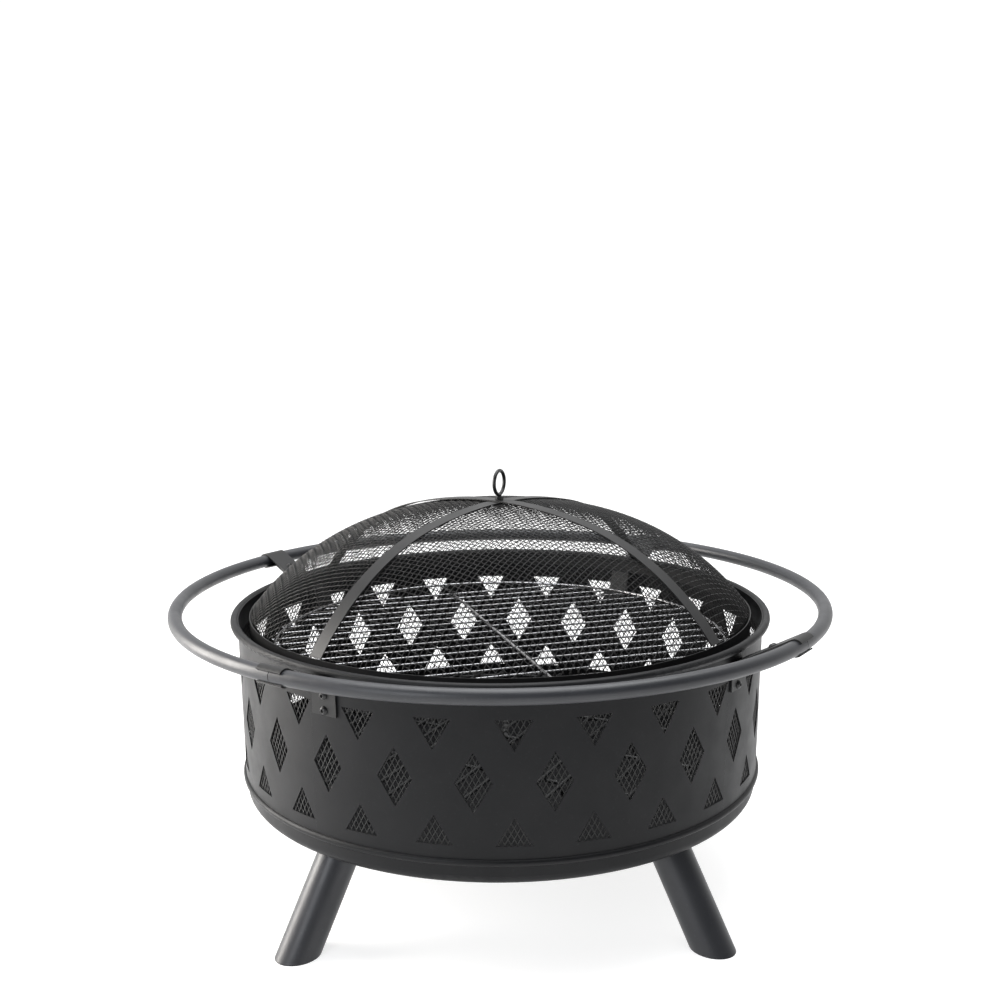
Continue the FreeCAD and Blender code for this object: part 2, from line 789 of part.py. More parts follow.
def grate_hook(number):
    """Strap inside the wall: humped over the bolts to carry the screen, with a ledge for the grate."""
    body = new_body(f"grate_hook_{number}")
    gauge, steep = dim("hook_gauge"), dim("hook_slope")
    plate_x = hook_plate_x()
    crest = dim("hook_top") - gauge / 2
    ledge = dim("hook_ledge") - gauge / 2
    fold = 4.0
    fold_drop = (as_size(1) - cosine(steep)) * fold * 2
    slant = (crest - ledge - fold_drop) / sine(steep)
    path = Path(plate_x, dim("hook_low"), 90)
    path.line(crest - fold - dim("hook_low"))
    path.bend(90, fold)
    path.line(dim("hook_shoulder"))
    path.bend(steep, fold)
    path.line(slant)
    path.bend(-steep, fold)
    path.level_to(dim("hook_reach"))
    pad(body, path.strip(gauge), dim("hook_width"))
    for height in ("wall_bolt_low", "wall_bolt_high"):
        sketch = sketch_on(body, "Hole", "YZ_Plane")
        circle(sketch, 0, dim(height), dim("bolt") / 2 + SLACK)
        bind(sketch, AttachmentOffset__Base__z=plate_x)
        pocket(body, sketch, gauge * 3)
    body.Placement = turned(BRACKET_AZIMUTH + 90 * number)
    return body


# ---------------------------------------------------------------- grates

def bars(label, count, pitch, tip, wire, height, azimuth):
    """Parallel bars whose ends follow the circle of the given tip radius."""
    wires = []
    for index in range(count):
        offset = pitch * (index - (count - 1) / 2)
        place = turned(azimuth) * Placement(
            Vector(0, offset.number, height.number), Rotation(Vector(0, 1, 0), 90))
        wires.append(rod(f"{label}_{index}", wire / 2, root(tip * tip - offset * offset) * 2, place))
    return group(label, wires)


def level_rod(label, radius, length, height, azimuth):
    """A single level bar through the axis."""
    place = turned(azimuth) * Placement(Vector(0, 0, height.number), Rotation(Vector(0, 1, 0), 90))
    return rod(label, radius, length, place)


def log_grate():
    """Heavy wire grate: bars on a ring and three supports, two of them bent into feet."""
    wire, height, ring = dim("log_wire"), dim("log_height"), dim("log_ring")
    pitch, tip = dim("log_pitch"), dim("log_tip")
    across = LOG_BAR_AZIMUTH + 90
    return [
        hoop("log_grate_ring", ring, wire, height),
        bars("log_grate_bars", LOG_BARS, pitch, tip, wire, height + wire, LOG_BAR_AZIMUTH),
        level_rod("log_grate_middle_bar", wire / 2, (ring - wire) * 2, height, across),
        footed_support("log_grate_front_feet", 1),
        footed_support("log_grate_rear_feet", -1),
    ]


def footed_support(label, side):
    """Bar under the log grate, bent down into two V feet."""
    wire, ring = dim("log_wire"), dim("log_ring")
    offset = dim("log_support_offset")
    reach = root((ring - wire) * (ring - wire) - offset * offset)
    slope, fold = dim("log_foot_slope"), dim("log_foot_fold")
    half_width = dim("log_foot_width") / 2
    leg_length = (half_width - fold * 2 * sine(slope)) / cosine(slope)
    path = Path(-reach, dim("log_height"), 0)
    for centre in (-dim("log_foot_offset"), dim("log_foot_offset")):
        path.level_to(centre - half_width)
        path.bend(-slope, fold)
        path.line(leg_length)
        path.bend(slope * 2, fold)
        path.line(leg_length)
        path.bend(-slope, fold)
    path.level_to(reach)
    body = new_body(label)
    spine = sketch_on(body, "Spine", "XZ_Plane")
    open_run(spine, path)
    section = sketch_on(body, "Section", "YZ_Plane")
    circle(section, 0, dim("log_height"), wire / 2)
    bind(section, AttachmentOffset__Base__z=-reach)
    pipe = body.newObject("PartDesign::AdditivePipe", "Wire")
    pipe.Profile = section
    pipe.Spine = spine
    body.Placement = turned(LOG_BAR_AZIMUTH + 90) * Placement(
        Vector(0, offset.number * side, 0), Rotation())
    return body


def open_run(sketch, path):
    """The path itself as an open chain of lines and arcs."""
    stations = path.stations
    chain = []
    for (x0, y0, _, _), (x1, y1, _, arc) in zip(stations, stations[1:]):
        start = Vector(x0.number, y0.number, 0)
        end = Vector(x1.number, y1.number, 0)
        if arc is None:
            geometry = sketch.addGeometry(Part.LineSegment(start, end), False)
            chain.append((geometry, 1, 2))
            continue
        geometry = sketch.addGeometry(arc_between(start, end, arc.number), False)
        chain.append((geometry, 1, 2) if arc.number > 0 else (geometry, 2, 1))
        rule = sketch.addConstraint(Sketcher.Constraint("Radius", geometry, abs(arc.number)))
        sketch.setExpression(f"Constraints[{rule}]", f"abs({arc.formula})")
    pin_point(sketch, chain[0][0], chain[0][1], stations[0][0], stations[0][1])
    for index, (geometry, _, last) in enumerate(chain):
        if index + 1 < len(chain):
            following, first, _ = chain[index + 1]
            sketch.addConstraint(Sketcher.Constraint("Coincident", geometry, last, following, first))
        pin_point(sketch, geometry, last, stations[index + 1][0], stations[index + 1][1])


def cooking_grate():
    """Thin plated grate: bars under a ring, with one cross bar level with the ring."""
    bar, ring_wire, height = dim("cook_wire"), dim("cook_ring_wire"), dim("cook_height")
    ring = dim("cook_ring")
    above = height + (bar + ring_wire) / 2
    pitch, tip = dim("cook_pitch"), dim("cook_tip")
    across = COOK_BAR_AZIMUTH + 90
    return [
        bars("cooking_grate_bars", COOK_BARS, pitch, tip, bar, height, COOK_BAR_AZIMUTH),
        hoop("cooking_grate_ring", ring, ring_wire, above),
        level_rod("cooking_grate_cross_bar", ring_wire / 2, (ring - ring_wire) * 2, above, across),
    ]


# ---------------------------------------------------------------- spark screen

def screen_spring():
    """Height at which the dome springs from its skirt."""
    return dim("screen_base") + dim("screen_band") + 1


def dome_points(offset):
    """Apex, knee and foot of the dome's half outline, offset outward, with its two radii."""
    crown, crown_angle = dim("crown_radius"), dim("crown_angle")
    shoulder_angle = dim("shoulder_angle")
    edge = dim("screen_outer") - dim("screen_band_gauge") - 2 * SLACK
    shoulder = (edge - crown * sine(crown_angle)) / (sine(shoulder_angle) - sine(crown_angle))
    apex = screen_spring() + crown * (as_size(1) - cosine(crown_angle))
    apex = apex + shoulder * (cosine(crown_angle) - cosine(shoulder_angle))
    outer_crown = crown + offset
    outer_shoulder = shoulder + offset
    top = (as_size(0), apex + offset)
    knee = (outer_crown * sine(crown_angle), top[1] - outer_crown * (as_size(1) - cosine(crown_angle)))
    foot = (edge + sine(shoulder_angle) * offset, screen_spring() + cosine(shoulder_angle) * offset)
    return top, knee, foot, outer_crown, outer_shoulder


def screen_mesh():
    """Woven wire dome, as a thin shell of the outer shape, in gores that meet under the ribs."""
    body = new_body("whole_mesh")
    skirt_low = dim("screen_base") + dim("screen_band") - dim("screen_tuck")
    top_in, knee_in, foot_in, crown_in, shoulder_in = dome_points(-dim("screen_mesh_gauge"))
    top_out, knee_out, foot_out, crown_out, shoulder_out = dome_points(as_size(0))
    revolution(body, [
        top_in,
        knee_in + (-crown_in,),
        foot_in + (-shoulder_in,),
        (foot_in[0], skirt_low),
        (foot_out[0], skirt_low),
        foot_out,
        knee_out + (shoulder_out,),
        top_out + (crown_out,),
    ])
    eye_hole(body, top_out[1])
    return sectors("screen_mesh", body, RIB_AZIMUTH, MESH_GORES)


def eye_hole(body, height):
    """Clear the eye bolt's shank through the crown."""
    drill = sketch_on(body, "EyeHole", "XY_Plane")
    circle(drill, 0, 0, dim("bolt") / 2 + SLACK)
    bind(drill, AttachmentOffset__Base__z=height)
    pocket(body, drill, 40)


def screen_rim():
    """Flat band rolled into a hoop round the dome's foot."""
    body = new_body("screen_rim")
    outer = dim("screen_outer")
    inner = outer - dim("screen_band_gauge")
    low = dim("screen_base")
    high = low + dim("screen_band")
    revolution(body, [(inner, low), (outer, low), (outer, high), (inner, high)])
    return body


def mirrored(point):
    return (-point[0], point[1])


def screen_rib(label, lift, azimuth):
    """Flat strap bent over the dome from rim to rim."""
    body = new_body(label)
    _, knee_in, foot_in, crown_in, shoulder_in = dome_points(lift)
    top_out, knee_out, foot_out, crown_out, shoulder_out = dome_points(lift + dim("rib_gauge"))
    pad(body, [
        mirrored(foot_in),
        mirrored(knee_in) + (-shoulder_in,),
        knee_in + (-crown_in,),
        foot_in + (-shoulder_in,),
        foot_out,
        knee_out + (shoulder_out,),
        mirrored(knee_out) + (crown_out,),
        mirrored(foot_out) + (shoulder_out,),
    ], dim("rib_width"))
    eye_hole(body, top_out[1])
    body.Placement = turned(azimuth)
    return body


def lifting_eye():
    """Eye bolt, its collar nut on the ribs, and the washer and nut under the mesh."""
    top, _, _, _, _ = dome_points(as_size(0))
    seat = top[1] + dim("rib_gauge") * 2 + 3 * SLACK
    below = top[1] - dim("screen_mesh_gauge") - SLACK
    middle = dim("eye_ring") / 2
    ring_height = seat + dim("nut_height") + middle + SLACK
    ring = doc.addObject("Part::Torus", "eye_ring_part")
    bind(ring, Radius1=middle - dim("eye_wire") / 2, Radius2=dim("eye_wire") / 2)
    ring.Placement = Placement(Vector(0, 0, ring_height.number), Rotation(Vector(1, 0, 0), 90))
    shank = doc.addObject("Part::Cylinder", "eye_shank_part")
    foot = below - 9
    bind(shank, Radius=dim("bolt") / 2, Height=ring_height - middle + dim("eye_wire") / 2 - foot)
    shank.Placement = Placement(Vector(0, 0, foot.number), Rotation())
    eye = doc.addObject("Part::MultiFuse", "screen_eye_bolt")
    eye.Shapes = [ring, shank]
    eye.Placement = turned(EYE_AZIMUTH)
    washer = new_body("screen_eye_washer")
    bore = dim("bolt") / 2 + SLACK
    outer = dim("eye_washer") / 2
    revolution(washer, [(bore, below - 1.5), (outer, below - 1.5), (outer, below), (bore, below)])
    upside_down = Rotation(Vector(1, 0, 0), 180)
    nuts = [nut("eye_nut_top", Placement(Vector(0, 0, seat.number), Rotation())),
            nut("eye_nut_under", Placement(Vector(0, 0, below.number - 1.5 - SLACK), upside_down))]
    return [eye, washer, group("screen_eye_nuts", nuts)]


# ---------------------------------------------------------------- build and write

def build():
    """Make every sub-part and return the document objects that are written out."""
    parts = bowl_wall() + [bowl_pan(), mesh_liner(), liner_seam_screws()]
    for quarter in QUARTERS:
        parts += [leg(quarter), leg_plate(quarter), ring_tube(quarter)]
        parts += [ring_bracket(quarter), clamp_leaf(quarter), grate_hook(quarter)]
    parts += bracket_fasteners() + leg_fasteners() + clamp_fasteners()
    parts += log_grate() + cooking_grate()
    parts += screen_mesh() + [screen_rim()]
    parts.append(screen_rib("screen_rib_lower", as_size(SLACK), RIB_AZIMUTH))
    parts.append(screen_rib("screen_rib_upper", dim("rib_gauge") + 2 * SLACK, RIB_AZIMUTH + 90))
    return parts + lifting_eye()


def check(parts):
    """Stop if any object failed or any sub-part is not a sound solid."""
    for item in doc.Objects:
        if {"Invalid", "Error"} & set(item.State):
            raise RuntimeError(f"{item.Name} failed: {item.State}")
    for item in parts:
        if item.Shape.isNull() or not item.Shape.isValid() or not item.Shape.Solids:
            raise RuntimeError(f"{item.Label} has no sound shape")


def write(parts):
    os.makedirs("parts", exist_ok=True)
    for item in parts:
        item.Shape.exportStep(os.path.join("parts", f"{item.Label}.step"))


sub_parts = build()
doc.recompute()
check(sub_parts)
write(sub_parts)
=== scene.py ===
import json
import math
import random

import bpy
from mathutils import Matrix, Vector


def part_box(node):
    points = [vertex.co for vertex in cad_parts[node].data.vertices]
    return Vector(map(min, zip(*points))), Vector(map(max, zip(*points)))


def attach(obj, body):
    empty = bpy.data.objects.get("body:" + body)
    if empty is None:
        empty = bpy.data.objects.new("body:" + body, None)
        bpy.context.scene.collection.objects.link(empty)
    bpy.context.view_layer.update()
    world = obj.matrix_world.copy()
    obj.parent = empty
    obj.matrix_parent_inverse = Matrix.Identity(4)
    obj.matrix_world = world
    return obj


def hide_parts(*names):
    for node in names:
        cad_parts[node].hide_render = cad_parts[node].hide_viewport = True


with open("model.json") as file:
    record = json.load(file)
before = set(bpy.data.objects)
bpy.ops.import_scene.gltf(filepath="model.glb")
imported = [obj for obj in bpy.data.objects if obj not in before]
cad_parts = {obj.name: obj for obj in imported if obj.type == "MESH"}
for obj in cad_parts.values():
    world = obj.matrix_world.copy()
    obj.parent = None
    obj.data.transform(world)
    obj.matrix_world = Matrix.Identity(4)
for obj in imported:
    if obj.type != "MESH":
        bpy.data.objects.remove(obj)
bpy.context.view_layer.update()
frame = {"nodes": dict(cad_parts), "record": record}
random.seed(7)

# ---------------------------------------------------------------- fire pit: metres, radians and counts

CROWN_RADIUS = 0.680
CROWN_ANGLE = math.radians(12)
SHOULDER_ANGLE = math.radians(52)
WEAVE_AZIMUTH = math.radians(57)
WEAVE_PITCH = 0.0068
WEAVE_WIRE = 0.00055
WEAVE_WAVE = 0.00050
WEAVE_EDGE_GAP = 0.0012
WEAVE_FOOT_GAP = 0.0002
LINER_COLUMNS = 306
LINER_CELL = 0.0136
LINER_OPEN = 0.84
LINER_TILT = 0.00014
LINER_SHEET = 0.0006
LINER_DEPTH = 0.0003
LOG_BAR_AZIMUTH = math.radians(64)
LOG_BARS, LOG_PITCH = 17, 0.0313
COOK_BAR_AZIMUTH = math.radians(17.4)
COOK_BARS, COOK_PITCH = 19, 0.0296
LEG_AZIMUTH = math.radians(46)
LEG_SPLAY = math.radians(31.9)
LEG_TUBE = 0.054
LEG_FOOT = 0.378
LEG_FILLET = 0.0020
LEG_FILLET_DROP = 0.0012
LEG_FILLET_POINTS = 96

# Noise scale and depth in metres of the powder coat's grain, half the floor's width in metres, and
# the strength of the white backdrop.
ORANGE_PEEL = 1400.0
ORANGE_PEEL_DEPTH = 0.00005
FLOOR_HALF = 30.0
BACKDROP = 1.05


# ---------------------------------------------------------------- materials

class Shader:
    """A node material under construction."""

    def __init__(self, name):
        self.material = bpy.data.materials.new(name)
        self.material.use_nodes = True
        self.tree = self.material.node_tree
        self.surface = self.tree.nodes["Principled BSDF"]
        coordinates = self.node("TexCoord")
        self.place = coordinates.outputs["Object"]

    def node(self, kind, **values):
        made = self.tree.nodes.new(f"ShaderNode{kind}")
        for key, value in values.items():
            setattr(made, key, value)
        return made

    def link(self, source, target):
        self.tree.links.new(source, target)

    def noise(self, scale, detail=4, rough=0.6, stretch=None):
        texture = self.node("TexNoise")
        texture.inputs["Scale"].default_value = scale
        texture.inputs["Detail"].default_value = detail
        texture.inputs["Roughness"].default_value = rough
        place = self.place
        if stretch:
            mapping = self.node("Mapping")
            mapping.inputs["Scale"].default_value = stretch
            self.link(place, mapping.inputs["Vector"])
            place = mapping.outputs["Vector"]
        self.link(place, texture.inputs["Vector"])
        return texture.outputs["Fac"]

    def remap(self, source, low, high, start=0.3, end=0.7):
        span = self.node("MapRange")
        for key, value in (("From Min", start), ("From Max", end), ("To Min", low), ("To Max", high)):
            span.inputs[key].default_value = value
        self.link(source, span.inputs["Value"])
        return span.outputs["Result"]

    def blend(self, factor, first, second):
        """Mix of two colours, each a plain colour or another output."""
        mix = self.node("Mix", data_type="RGBA")
        self.link(factor, mix.inputs[0])
        for socket, colour in ((mix.inputs[6], first), (mix.inputs[7], second)):
            if isinstance(colour, tuple):
                socket.default_value = colour + (1,)
            else:
                self.link(colour, socket)
        return mix.outputs[2]

    def times(self, first, second):
        product = self.node("Math", operation="MULTIPLY")
        self.link(first, product.inputs[0])
        if isinstance(second, float):
            product.inputs[1].default_value = second
        else:
            self.link(second, product.inputs[1])
        return product.outputs[0]

    def edges(self, radius):
        """1 on sharp edges and 0 on open faces."""
        bevel = self.node("Bevel", samples=4)
        bevel.inputs["Radius"].default_value = radius
        flat = self.node("NewGeometry")
        dot = self.node("VectorMath", operation="DOT_PRODUCT")
        self.link(bevel.outputs["Normal"], dot.inputs[0])
        self.link(flat.outputs["Normal"], dot.inputs[1])
        return self.remap(dot.outputs["Value"], 1.0, 0.0, 0.80, 0.99)

    def bump(self, layers):
        """Stack of (height, distance in metres, strength) on a slightly rounded edge."""
        bevel = self.node("Bevel", samples=4)
        bevel.inputs["Radius"].default_value = 0.0005
        normal = bevel.outputs["Normal"]
        for height, distance, strength in layers:
            bump = self.node("Bump")
            bump.inputs["Distance"].default_value = distance
            bump.inputs["Strength"].default_value = strength
            self.link(height, bump.inputs["Height"])
            self.link(normal, bump.inputs["Normal"])
            normal = bump.outputs["Normal"]
        self.link(normal, self.surface.inputs["Normal"])


def coated(name, dark, light, rough, wear, shine):
    """Satin powder coat over steel, with a fine orange peel, dust and rubbed edges."""
    shader = Shader(name)
    cloud = shader.noise(7.0, 5)
    speck = shader.noise(260.0, 2)
    tone = shader.blend(shader.remap(cloud, 0.0, 1.0), dark, light)
    dusty = tuple(channel * 1.9 + 0.006 for channel in light)
    tone = shader.blend(shader.remap(speck, 0.0, 0.5, 0.62, 0.82), tone, dusty)
    rub = shader.times(shader.edges(0.0007), shader.remap(shader.noise(38.0, 6), 0.0, wear, 0.42, 0.68))
    tone = shader.blend(rub, tone, (0.10, 0.097, 0.094))
    shader.link(tone, shader.surface.inputs["Base Color"])
    patchy = shader.remap(shader.noise(22.0, 6), rough - 0.05, rough + 0.07)
    shader.link(patchy, shader.surface.inputs["Roughness"])
    shader.surface.inputs["Specular IOR Level"].default_value = shine
    shader.bump([(shader.noise(ORANGE_PEEL, 2), ORANGE_PEEL_DEPTH, 0.35), (cloud, 0.0004, 0.12)])
    return shader.material


def plated(name):
    """Bright plated wire, a little cloudy, drawn along its length."""
    shader = Shader(name)
    cloud = shader.noise(30.0, 5)
    stain = shader.noise(9.0, 4)
    tone = shader.blend(shader.remap(cloud, 0.0, 1.0), (0.34, 0.34, 0.35), (0.47, 0.47, 0.48))
    tone = shader.blend(shader.remap(stain, 0.0, 0.4, 0.5, 0.75), tone, (0.22, 0.20, 0.18))
    shader.link(tone, shader.surface.inputs["Base Color"])
    shader.surface.inputs["Metallic"].default_value = 1.0
    shader.link(shader.remap(cloud, 0.14, 0.28), shader.surface.inputs["Roughness"])
    shader.bump([(shader.noise(900.0, 2), 0.00003, 0.3)])
    return shader.material


# Name, darker and lighter colour, roughness, edge wear and specular level of each black finish.
COATS = (
    ("black_coat", (0.0040, 0.0042, 0.0050), (0.0066, 0.0068, 0.0078), 0.45, 0.2, 0.20),
    ("ring_coat", (0.0170, 0.0180, 0.0215), (0.0230, 0.0242, 0.0285), 0.40, 0.4, 0.5),
    ("strap_coat", (0.0085, 0.0085, 0.0090), (0.0125, 0.0125, 0.0128), 0.44, 0.3, 0.30),
    ("black_mesh", (0.0080, 0.0080, 0.0083), (0.0140, 0.0137, 0.0134), 0.40, 0.15, 0.30),
    ("log_wire", (0.0100, 0.0102, 0.0110), (0.0150, 0.0152, 0.0160), 0.38, 0.2, 0.45),
    ("black_fastener", (0.0070, 0.0072, 0.0076), (0.0120, 0.0120, 0.0124), 0.32, 0.35, 0.40),
)
MATERIALS = {coat[0]: coated(*coat) for coat in COATS}
MATERIALS["plated_wire"] = plated("plated_wire")

for entry in frame["record"]["subparts"]:
    node = frame["nodes"][entry["node"]]
    for holder in node.material_slots:
        holder.material = MATERIALS[entry["material_slot"]]


# ---------------------------------------------------------------- mesh helpers

def piece(name, points, faces, body, slot, smooth=True):
    """A mesh object that rides a body and takes a material slot's finish."""
    mesh = bpy.data.meshes.new(name)
    mesh.from_pydata([tuple(point) for point in points], [], faces)
    mesh.materials.append(MATERIALS[slot])
    mesh.polygons.foreach_set("use_smooth", [smooth] * len(mesh.polygons))
    mesh.update()
    made = bpy.data.objects.new(name, mesh)
    bpy.context.collection.objects.link(made)
    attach(made, body)
    return made


def tube(points, faces, path, radius, sides, up, closed=False):
    """Add a swept round wire; up(point) gives the side that its first corner faces."""
    start = len(points)
    count = len(path)
    for index, here in enumerate(path):
        after = path[(index + 1) % count] if closed or index + 1 < count else here
        before = path[index - 1] if closed or index else here
        along = (after - before).normalized()
        out = up(here)
        out = (out - along * out.dot(along)).normalized()
        side = along.cross(out)
        for corner in range(sides):
            turn = 2 * math.pi * corner / sides
            points.append(here + (out * math.cos(turn) + side * math.sin(turn)) * radius)
    for index in range(count if closed else count - 1):
        here, there = start + index * sides, start + (index + 1) % count * sides
        for corner in range(sides):
            following = (corner + 1) % sides
            faces.append((here + corner, here + following, there + following, there + corner))
    if not closed:
        faces.append(tuple(reversed(range(start, start + sides))))
        faces.append(tuple(range(start + (count - 1) * sides, start + count * sides)))


def bead(points, faces, centre, size):
    """Add one small weld bead: a squashed, slightly uneven blob."""
    start = len(points)
    rings, sides = 4, 7
    points.append(centre + Vector((0, 0, -size.z)))
    for ring in range(1, rings):
        rise = math.pi * ring / rings
        for corner in range(sides):
            turn = 2 * math.pi * corner / sides
            swell = random.uniform(0.86, 1.12)
            points.append(centre + Vector((
                size.x * math.sin(rise) * math.cos(turn) * swell,
                size.y * math.sin(rise) * math.sin(turn) * swell,
                -size.z * math.cos(rise))))
    points.append(centre + Vector((0, 0, size.z)))
    last = len(points) - 1
    for corner in range(sides):
        following = (corner + 1) % sides
        faces.append((start, start + 1 + following, start + 1 + corner))
        for ring in range(rings - 2):
            here = start + 1 + ring * sides
            faces.append((here + corner, here + following, here + sides + following, here + sides + corner))
        top = start + 1 + (rings - 2) * sides
        faces.append((top + corner, top + following, last))


def upward(_):
    """Side that the corners of a level ring's wire face."""
    return Vector((0, 0, 1))


# ---------------------------------------------------------------- spark screen's woven wire

SCREEN_GORES = sorted(node for node in frame["nodes"] if node.startswith("screen_mesh_"))
SCREEN_TOP = max(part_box(node)[1].z for node in SCREEN_GORES)
SCREEN_FOOT = min(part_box(node)[0].z for node in SCREEN_GORES)
EDGE = max(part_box(node)[1].x for node in SCREEN_GORES)
KNEE = CROWN_RADIUS * math.sin(CROWN_ANGLE)
SHOULDER_RADIUS = (EDGE - KNEE) / (math.sin(SHOULDER_ANGLE) - math.sin(CROWN_ANGLE))


def dome_arc(radius):
    """Distance out and height of the arc's centre, and the arc's radius, at a distance out."""
    if radius <= KNEE:
        return 0.0, SCREEN_TOP - CROWN_RADIUS, CROWN_RADIUS
    out = KNEE - SHOULDER_RADIUS * math.sin(CROWN_ANGLE)
    knee_height = SCREEN_TOP - CROWN_RADIUS * (1 - math.cos(CROWN_ANGLE))
    return out, knee_height - SHOULDER_RADIUS * math.cos(CROWN_ANGLE), SHOULDER_RADIUS


def dome_point(x, y, lift):
    """Point over (x, y), moved along the dome's normal by lift, and that normal."""
    radius = math.hypot(x, y)
    out, base, arc = dome_arc(radius)
    lean = math.asin(min(1.0, (radius - out) / arc)) if radius else 0.0
    spoke = Vector((x, y, 0)).normalized() if radius else Vector((1, 0, 0))
    normal = spoke * math.sin(lean) + Vector((0, 0, math.cos(lean)))
    return Vector((x, y, base + arc * math.cos(lean))) + normal * lift


def dome_normal(point):
    """Outward direction of the dome through a point on it."""
    out, base, arc = dome_arc(math.hypot(point.x, point.y))
    spoke = Vector((point.x, point.y, 0)).normalized()
    return (spoke * (math.hypot(point.x, point.y) - out) + Vector((0, 0, point.z - base))).normalized()


def woven_screen():
    """Two crossing families of wavy wires, each ending in a short tail behind the band."""
    points, faces = [], []
    depth = -(WEAVE_WIRE + WEAVE_WAVE)
    limit = EDGE - WEAVE_EDGE_GAP
    lines = int(limit / WEAVE_PITCH)
    for family in (0, 1):
        along = Vector((math.cos(WEAVE_AZIMUTH + family * math.pi / 2),
                        math.sin(WEAVE_AZIMUTH + family * math.pi / 2), 0))
        across = Vector((-along.y, along.x, 0))
        for line in range(-lines, lines + 1):
            offset = line * WEAVE_PITCH
            reach = math.sqrt(limit ** 2 - offset ** 2)
            steps = int(reach / WEAVE_PITCH)
            path = []
            for step in range(-steps, steps + 1):
                spot = along * (step * WEAVE_PITCH) + across * offset
                wave = WEAVE_WAVE if (line + step + family) % 2 else -WEAVE_WAVE
                path.append(dome_point(spot.x, spot.y, depth + wave))
            for end in (-1, 1):
                spot = along * (reach * end) + across * offset
                foot = dome_point(spot.x, spot.y, depth)
                tail = [foot, Vector((foot.x, foot.y, SCREEN_FOOT + WEAVE_FOOT_GAP))]
                path = path + tail if end > 0 else tail[::-1] + path
            tube(points, faces, path, WEAVE_WIRE, 5, dome_normal)
    made = piece("screen_weave", points, faces, "spark_screen", "black_mesh")
    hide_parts(*SCREEN_GORES)


# ---------------------------------------------------------------- expanded-metal liner

def expanded_liner():
    """Sheet slit and stretched into diamonds, rolled into a sleeve behind the cut-outs."""
    low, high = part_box("mesh_liner")
    radius = high.x - LINER_DEPTH
    half = LINER_CELL / 2
    rows = int((high.z - low.z) / half)
    base = (low.z + high.z - rows * half) / 2
    turn = 2 * math.pi / LINER_COLUMNS
    points, faces = [], []

    def around(angle, height, out):
        return Vector(((radius + out) * math.cos(angle), (radius + out) * math.sin(angle), height))

    def knot(row, column):
        return row * LINER_COLUMNS + column % LINER_COLUMNS

    for row in range(rows + 1):
        for column in range(LINER_COLUMNS):
            points.append(around((column + row % 2 / 2) * turn, base + row * half, 0))
    for row in range(1, rows):
        for column in range(LINER_COLUMNS):
            odd = row % 2
            middle = (column + 0.5 + odd / 2) * turn
            height = base + row * half
            corners = [knot(row - 1, column + odd), knot(row, column + 1),
                       knot(row + 1, column + odd), knot(row, column)]
            start = len(points)
            wide, tall = turn / 2 * LINER_OPEN, half * LINER_OPEN
            points.append(around(middle, height - tall, -LINER_TILT))
            points.append(around(middle + wide, height, 0))
            points.append(around(middle, height + tall, LINER_TILT))
            points.append(around(middle - wide, height, 0))
            for side in range(4):
                following = (side + 1) % 4
                faces.append((corners[side], corners[following], start + following, start + side))
    made = piece("liner_lattice", points, faces, "bowl", "black_mesh", smooth=False)
    thick = made.modifiers.new("sheet", "SOLIDIFY")
    thick.thickness = LINER_SHEET
    thick.offset = 0
    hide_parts("mesh_liner")


# ---------------------------------------------------------------- welds

def grate_welds(name, body, slot, ring_node, bar_azimuth, bars, pitch, bead_height, size):
    """Weld beads where the bars cross the ring."""
    _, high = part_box(ring_node)
    radius = high.x - (high.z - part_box(ring_node)[0].z) / 2
    points, faces = [], []
    along = Vector((math.cos(bar_azimuth), math.sin(bar_azimuth), 0))
    across = Vector((-along.y, along.x, 0))
    for bar in range(bars):
        offset = pitch * (bar - (bars - 1) / 2)
        if abs(offset) >= radius:
            continue
        reach = math.sqrt(radius ** 2 - offset ** 2)
        for end in (-1, 1):
            spot = along * (reach * end) + across * offset
            bead(points, faces, Vector((spot.x, spot.y, bead_height)), size)
    piece(name, points, faces, body, slot)


def leg_welds():
    """Fillet weld where each leg tube meets the underside of its plate."""
    points, faces = [], []
    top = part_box("leg_0")[1].z
    middle = LEG_FOOT - top * math.tan(LEG_SPLAY)
    for quarter in range(4):
        azimuth = LEG_AZIMUTH + quarter * math.pi / 2
        turned = Matrix.Rotation(azimuth, 3, "Z")
        path = []
        for index in range(LEG_FILLET_POINTS):
            turn = 2 * math.pi * index / LEG_FILLET_POINTS
            swell = 1 + 0.012 * math.sin(index * 2.1) + random.uniform(-0.004, 0.004)
            local = Vector((middle + LEG_TUBE / 2 / math.cos(LEG_SPLAY) * math.cos(turn) * swell,
                            LEG_TUBE / 2 * math.sin(turn) * swell, top - LEG_FILLET_DROP))
            path.append(turned @ local)
        tube(points, faces, path, LEG_FILLET, 8, upward, closed=True)
    piece("leg_weld_fillets", points, faces, "bowl", "black_coat")


woven_screen()
expanded_liner()
leg_welds()
LOG_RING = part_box("log_grate_ring")
grate_welds("log_grate_welds", "log_grate", "log_wire", "log_grate_ring", LOG_BAR_AZIMUTH,
            LOG_BARS, LOG_PITCH, LOG_RING[1].z, Vector((0.0036, 0.0036, 0.0015)))
COOK_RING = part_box("cooking_grate_ring")
grate_welds("cooking_grate_welds", "cooking_grate", "plated_wire", "cooking_grate_ring", COOK_BAR_AZIMUTH,
            COOK_BARS, COOK_PITCH, COOK_RING[0].z, Vector((0.0025, 0.0025, 0.0010)))


# ---------------------------------------------------------------- stage, light and camera

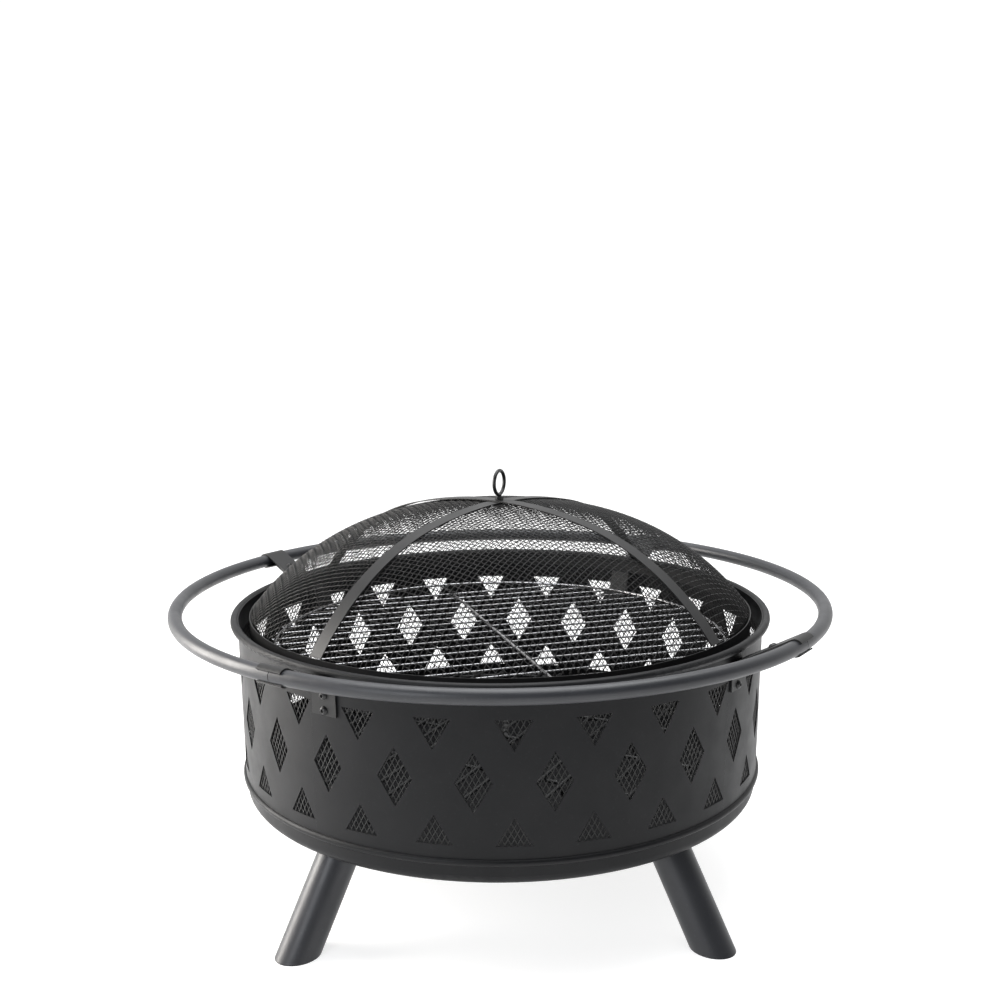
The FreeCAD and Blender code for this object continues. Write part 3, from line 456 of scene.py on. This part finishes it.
def floor():
    """Plain pale floor that glows enough to meet the backdrop without a horizon."""
    mesh = bpy.data.meshes.new("floor")
    half = FLOOR_HALF
    corners = [(-half, -half, 0), (half, -half, 0), (half, half, 0), (-half, half, 0)]
    mesh.from_pydata(corners, [], [(0, 1, 2, 3)])
    shader = Shader("pale_floor")
    tone = shader.blend(shader.remap(shader.noise(3.0, 3), 0.0, 1.0), (0.49, 0.49, 0.49), (0.52, 0.52, 0.52))
    shader.link(tone, shader.surface.inputs["Base Color"])
    shader.surface.inputs["Roughness"].default_value = 0.8
    shader.surface.inputs["Emission Color"].default_value = (1, 1, 1, 1)
    shader.surface.inputs["Emission Strength"].default_value = 0.76
    mesh.materials.append(shader.material)
    made = bpy.data.objects.new("floor", mesh)
    bpy.context.collection.objects.link(made)


def sky():
    """Studio surround that lights more from behind than from in front, on a white backdrop."""
    world = bpy.data.worlds.new("studio")
    bpy.context.scene.world = world
    world.use_nodes = True
    nodes, links = world.node_tree.nodes, world.node_tree.links
    where = nodes.new("ShaderNodeTexCoord")
    split = nodes.new("ShaderNodeSeparateXYZ")
    span = nodes.new("ShaderNodeMapRange")
    for key, value in (("From Min", -0.35), ("From Max", 0.50), ("To Min", 0.16), ("To Max", BACKDROP)):
        span.inputs[key].default_value = value
    links.new(where.outputs["Generated"], split.inputs[0])
    links.new(split.outputs["Y"], span.inputs["Value"])
    seen = nodes.new("ShaderNodeLightPath")
    backdrop = nodes.new("ShaderNodeMath")
    backdrop.operation = "MULTIPLY"
    backdrop.inputs[1].default_value = BACKDROP
    brighter = nodes.new("ShaderNodeMath")
    brighter.operation = "MAXIMUM"
    links.new(seen.outputs["Is Camera Ray"], backdrop.inputs[0])
    links.new(span.outputs["Result"], brighter.inputs[0])
    links.new(backdrop.outputs[0], brighter.inputs[1])
    links.new(brighter.outputs[0], nodes["Background"].inputs["Strength"])
    nodes["Background"].inputs["Color"].default_value = (1, 1, 1, 1)


def softbox(name, place, aim, width, height, power, colour):
    """Rectangular light that faces its aim point."""
    data = bpy.data.lights.new(name, "AREA")
    data.shape = "RECTANGLE"
    data.size, data.size_y = width, height
    data.energy = power
    data.color = colour
    made = bpy.data.objects.new(name, data)
    made.location = place
    made.rotation_mode = "QUATERNION"
    made.rotation_quaternion = (Vector(aim) - Vector(place)).to_track_quat("-Z", "Y")
    bpy.context.collection.objects.link(made)


def camera():
    """Camera at the height and tilt that the bowl is seen from."""
    data = bpy.data.cameras.new("camera")
    data.sensor_width = 36.0
    data.lens = 44.64
    data.shift_y = 0.10
    made = bpy.data.objects.new("camera", data)
    made.location = (0.0, -1.708, 0.832)
    pitch, roll = math.radians(90 - 14.2), math.radians(-0.39)
    made.rotation_euler = (Matrix.Rotation(pitch, 3, "X") @ Matrix.Rotation(roll, 3, "Z")).to_euler()
    bpy.context.collection.objects.link(made)
    bpy.context.scene.camera = made


floor()
sky()
softbox("left_softbox", (-2.1, 0.15, 0.9), (0, 0, 0.3), 1.1, 1.6, 88, (1.0, 0.965, 0.92))
softbox("top_softbox", (0.1, 0.2, 2.8), (0, 0, 0.3), 2.6, 2.6, 95, (0.97, 0.985, 1.0))
softbox("front_left_fill", (-1.3, -2.2, 1.2), (0, 0, 0.3), 0.9, 1.4, 22, (0.93, 0.96, 1.0))
camera()
bpy.context.scene.view_settings.view_transform = "Standard"
